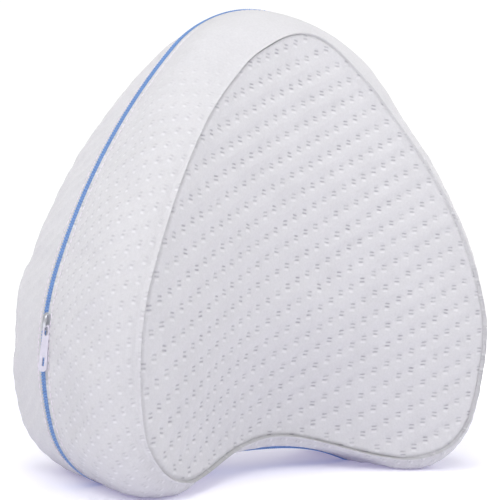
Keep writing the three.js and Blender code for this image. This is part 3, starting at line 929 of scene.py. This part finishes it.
# Slider and pull
slider = {
    "up": 77, "length": 8.4, "width": 5.3, "noseWidth": 4.2, "corner": 1.5, "thickness": 1.5, "bevel": 0.35,
    "bridgeLength": 6.6, "bridgeWidth": 1.5, "bridgeHeight": 2.0, "bridgeThickness": 0.65,
    "bridgeFoot": 0.4, "bridgeBevel": 0.2, "archPower": 0.55, "archSteps": 21,
    "railStart": 1.6, "railEnd": 0.8, "railWidth": 0.6, "railCorner": 0.25, "railHeight": 1.0,
    "railBevel": 0.15, "railInset": 0.35, "railUp": 0.1,
    "sink": 0.3, "forward": 2.8, "tilt": math.radians(-36), "between": (0.4, 0.7), "samples": 601,
}
pull = {
    "length": 21, "width": 3.7, "neckWidth": 2.9, "corner": 1.5, "thickness": 0.9, "bevel": 0.25,
    "eyeAt": 2.9, "eyeLength": 3.8, "eyeWidth": 1.8, "eyeCorner": 0.7,
    "slotAt": 16.8, "slotLength": 4, "slotWidth": 1.1, "slotCorner": 0.4,
    "start": 1.6, "lift": 1.5, "lean": math.radians(1), "swing": math.radians(1), "forward": 0.9,
}


# a plate with bevelled edges and holes, from closed outlines in its own plane
def flatPiece(name, outlines, thickness, bevel, material):
    curve = bpy.data.curves.new(name, "CURVE")
    curve.dimensions = "2D"
    curve.fill_mode = "BOTH"
    curve.extrude = (thickness / 2 - bevel) * metre
    curve.bevel_depth = bevel * metre
    curve.bevel_resolution = 2
    curve.offset = -bevel * metre
    for outline in outlines:
        spline = curve.splines.new("POLY")
        spline.points.add(len(outline) - 1)
        for point, (x, y) in zip(spline.points, outline):
            point.co = (x * metre, y * metre, 0, 1)
        spline.use_cyclic_u = True
    source = addObject(name + "Curve", curve)
    mesh = plainMesh(name, source)
    bpy.data.objects.remove(source)
    mesh.materials.clear()
    mesh.materials.append(material)
    return addObject(name, mesh)


# a rounded outline whose width changes from one end to the other
def roundedOutline(start, end, startWidth, endWidth, corner, steps=6):
    points = []
    centres = [(end - corner, endWidth / 2 - corner, 0), (start + corner, startWidth / 2 - corner, 90)]
    centres += [(start + corner, corner - startWidth / 2, 180), (end - corner, corner - endWidth / 2, 270)]
    for x, y, first in centres:
        for step in range(steps + 1):
            angle = math.radians(first + 90 * step / steps)
            points.append((x + corner * math.cos(angle), y + corner * math.sin(angle)))
    return points


# the bridge seen from the side: an arch over a smaller arch, both on short feet
def archOutline():
    half, top, thick = slider["bridgeLength"] / 2, slider["bridgeHeight"], slider["bridgeThickness"]
    foot = -slider["bridgeFoot"]
    arch = lambda reach, rise, angles: [
        (reach * math.cos(a), rise * math.sin(a)**slider["archPower"]) for a in angles
    ]
    turn = np.linspace(0, math.pi, slider["archSteps"])
    outer = [(half, foot), *arch(half, top, turn), (-half, foot)]
    return outer + [(thick - half, foot), *arch(half - thick, top - thick, turn[::-1]), (half - thick, foot)]


# the slider's own axes on the left side wall: X down along the zip, Z outwards
def sliderPlace():
    along = -np.linspace(*slider["between"], slider["samples"])
    pick = int(np.argmin(np.abs(station(along)[1] - slider["up"])))
    across, up, outAcross, outUp = (float(value[pick]) for value in station(along))
    out = Vector((outAcross, 0, outUp)).normalized()
    down = Vector((0, -1, 0)).cross(out)
    out = Matrix.Rotation(slider["tilt"], 3, down) @ out   # turned a little towards the front
    sideways = out.cross(down)
    place = Matrix((down, sideways, out)).transposed().to_4x4()
    place.translation = Vector((across, -slider["forward"], up)) * metre
    return place


def shift(x, y, z):
    return Matrix.Translation(Vector((x, y, z)) * metre)


def selectOnly(pieces):
    bpy.ops.object.select_all(action="DESELECT")
    for piece in pieces:
        piece.select_set(True)
    bpy.context.view_layer.objects.active = pieces[0]


def mergePieces(name, pieces):
    selectOnly(pieces)
    bpy.ops.object.join()
    pieces[0].name = name
    return pieces[0]


def weldMesh(piece):
    selectOnly([piece])
    bpy.ops.object.mode_set(mode="EDIT")
    bpy.ops.mesh.select_all(action="SELECT")
    bpy.ops.mesh.remove_doubles(threshold=1e-6)
    bpy.ops.mesh.normals_make_consistent(inside=False)
    bpy.ops.object.mode_set(mode="OBJECT")
    return piece


# a plate with an arched bridge above it and a rail along each side
def sliderPiece(name, material):
    half, sink = slider["length"] / 2, slider["sink"]
    plate = roundedOutline(-half, half, slider["noseWidth"], slider["width"], slider["corner"])
    topPlate = flatPiece("topPlate", [plate], slider["thickness"], slider["bevel"], material)
    topPlate.data.transform(shift(0, 0, slider["thickness"] / 2 - sink))
    bridge = flatPiece("bridge", [archOutline()], slider["bridgeWidth"], slider["bridgeBevel"], material)
    bridge.data.transform(Matrix.Rotation(math.pi / 2, 4, "X"))
    bridge.data.transform(shift(0, 0, slider["thickness"] - sink))
    parts = [topPlate, bridge]
    start, end, width = slider["railStart"] - half, half - slider["railEnd"], slider["railWidth"]
    rail = roundedOutline(start, end, width, width, slider["railCorner"], steps=3)
    for side in (-1, 1):
        flange = flatPiece("flange", [rail], slider["railHeight"], slider["railBevel"], material)
        fromMiddle = slider["width"] / 2 - slider["railInset"]
        flange.data.transform(shift(0, side * fromMiddle, slider["railUp"] - sink))
        parts.append(flange)
    piece = mergePieces(name, [weldMesh(part) for part in parts])
    piece.data.transform(sliderPlace())
    return piece


def pullHole(kind):
    start, width = pull[kind + "At"] - pull[kind + "Length"] / 2, pull[kind + "Width"]
    return roundedOutline(start, start + pull[kind + "Length"], width, width, pull[kind + "Corner"], steps=4)


def pullPiece(name, material):
    outline = roundedOutline(0, pull["length"], pull["neckWidth"], pull["width"], pull["corner"])
    outlines = [outline, pullHole("eye"), pullHole("slot")]
    piece = weldMesh(flatPiece(name, outlines, pull["thickness"], pull["bevel"], material))
    piece.data.transform(shift(0, 0, pull["thickness"] / 2))
    piece.data.transform(Matrix.Rotation(pull["lean"], 4, "Y"))
    piece.data.transform(Matrix.Rotation(pull["swing"], 4, "Z"))
    piece.data.transform(shift(pull["start"], pull["forward"], pull["lift"]))
    piece.data.transform(sliderPlace())
    return piece


# Build
bandSteps = (band["columnWidth"], bandStep / 3), (0.0, bandStep)
panelCloth = knitMaterial("dottedKnitPanel", panel["columnStep"], panel["rowStep"], panelDots)
bandCloth = knitMaterial("dottedKnitBand", *bandSteps, bandDots)
backBandCloth = knitMaterial("dottedKnitBackBand", *bandSteps, backBandDots)
tapeBlue = mottledMaterial("blueTape", "tape")
coilBlue = mottledMaterial("blueCoil", "coil")
threadPale = mottledMaterial("paleThread", "thread")
sliderMetal = mottledMaterial("satinMetal", "metal", metallic=0.8)
pullEnamel = mottledMaterial("paleEnamel", "enamel")
print("materials ready")

shell = settleCloth(panelCloth)
print("cloth settled")
soft = {}
for side, behind in (("front", False), ("back", True)):
    soft[side + "_panel"] = panelMesh(side + "PanelCloth", behind, panelCloth, shell)
    sideCloth = backBandCloth if behind else bandCloth
    soft[side + "_band"] = bandMesh(side + "BandCloth", behind, sideCloth, shell)
    print(side, "cloth ready")
for node, piece in soft.items():
    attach(piece, body)
    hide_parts(node)

repeat = repeatTree()
tape = tapeMesh("zipTape", tapeBlue)
teeth = coilTeeth("zipTeeth", repeat, coilBlue)
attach(tape, body)
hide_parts("zip_chain")
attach(teeth, body)
threads = topstitches("hemStitches", repeat, threadPale)
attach(threads, body)
metalBody = sliderPiece("zipSlider", sliderMetal)
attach(metalBody, body)
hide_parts("zip_slider")
tab = pullPiece("zipPull", pullEnamel)
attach(tab, body)
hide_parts("zip_pull")
print("zip ready")

# Floor, light, camera
studio = {
    "worldBase": 0.3, "backdropGain": 0.75, "backdropSide": (0.577, 0.8165, 0.0), "backdropFade": (0.4, 0.88),
    "nearGlow": (0.165, 0.155, 0.235, 1), "farGlow": (0.9, 0.9, 0.9, 1), "farAt": (0.3, 1.1),
    "floorReach": 6000, "lampSize": 1.0, "lampAim": (0, 0, 0.12),
}
lamps = {
    "overheadLamp": {"place": (-0.2, -0.1, 2.1), "power": 12.2},
    "frontLamp": {"place": (-0.8, -1.2, 1.6), "power": 14.2},
    "leftLamp": {"place": (-1.4, -0.5, 1.4), "power": 9.3},
    "rightLamp": {"place": (1.6, -1.0, 0.8), "power": 8.5},
}
eye = {
    "azimuth": -35.263, "elevation": -3.984, "roll": 1.864, "right": 8.200, "up": 6.374,
    "distance": 472.632, "focal": 856.985, "picture": 500, "sensor": 36, "clipStart": 0.01,
}


def addFloor():
    size = studio["floorReach"]
    corners = [(-size, -size, 0), (size, -size, 0), (size, size, 0), (-size, size, 0)]
    white = mottledMaterial("floorWhite", "floor")
    tree = white.node_tree
    shader = tree.nodes["Principled BSDF"]
    place = nodeIn(tree, "ShaderNodeTexCoord").outputs["Object"]
    far = nodeIn(tree, "ShaderNodeVectorMath", {0: place}, operation="LENGTH").outputs["Value"]
    near = fade(tree, far, *studio["farAt"])
    glow = nodeIn(tree, "ShaderNodeMix", {"Factor": near}, data_type="RGBA")
    glow.inputs["A"].default_value = studio["farGlow"]
    glow.inputs["B"].default_value = studio["nearGlow"]
    tree.links.new(glow.outputs["Result"], shader.inputs["Emission Color"])
    shader.inputs["Emission Strength"].default_value = 1.0
    floor = makeMesh("floor", np.array(corners, float), [[0, 1, 2, 3]], white)


def addLamp(name, place, power, size):
    lamp = bpy.data.lights.new(name, "AREA")
    lamp.energy = power
    lamp.size = size
    lampObject = addObject(name, lamp)
    lampObject.location = place
    aim = Vector(studio["lampAim"]) - Vector(place)
    lampObject.rotation_euler = aim.to_track_quat("-Z", "Y").to_euler()


def addWorld():
    world = bpy.data.worlds.new("studio")
    bpy.context.scene.world = world
    world.use_nodes = True
    tree = world.node_tree
    background = tree.nodes["Background"]
    background.inputs["Color"].default_value = (1, 1, 1, 1)
    direction = nodeIn(tree, "ShaderNodeTexCoord").outputs["Generated"]
    plus, minus, times = arithmetic(tree)
    sides = {0: direction, 1: studio["backdropSide"]}
    towards = nodeIn(tree, "ShaderNodeVectorMath", sides, operation="DOT_PRODUCT").outputs["Value"]
    backdrop = minus(1.0, fade(tree, towards, *studio["backdropFade"]))
    total = plus(times(backdrop, studio["backdropGain"]), studio["worldBase"])
    tree.links.new(total, background.inputs["Strength"])


def addCamera():
    azimuth, elevation, roll = (math.radians(eye[key]) for key in ("azimuth", "elevation", "roll"))
    back = Vector((
        math.sin(azimuth) * math.cos(elevation),
        -math.cos(azimuth) * math.cos(elevation),
        math.sin(elevation),
    ))
    level = (-back).cross(Vector((0, 0, 1))).normalized()
    upright = level.cross(-back)
    right = level * math.cos(roll) + upright * math.sin(roll)
    top = upright * math.cos(roll) - level * math.sin(roll)
    place = Vector((0, 0, form["height"] / 2))
    place = place - right * eye["right"] - top * eye["up"] + back * eye["distance"]
    camera = bpy.data.cameras.new("photoCamera")
    camera.sensor_width = eye["sensor"]
    camera.lens = eye["focal"] / eye["picture"] * eye["sensor"]
    camera.clip_start = eye["clipStart"]
    cameraObject = addObject("photoCamera", camera)
    matrix = Matrix((right, top, back)).transposed().to_4x4()
    matrix.translation = place * metre
    cameraObject.matrix_world = matrix
    bpy.context.scene.camera = cameraObject


addFloor()
addWorld()
for lampName, lamp in lamps.items():
    addLamp(lampName, lamp["place"], lamp["power"], studio["lampSize"])
addCamera()
bpy.context.scene.view_settings.view_transform = "Standard"
print("studio ready")
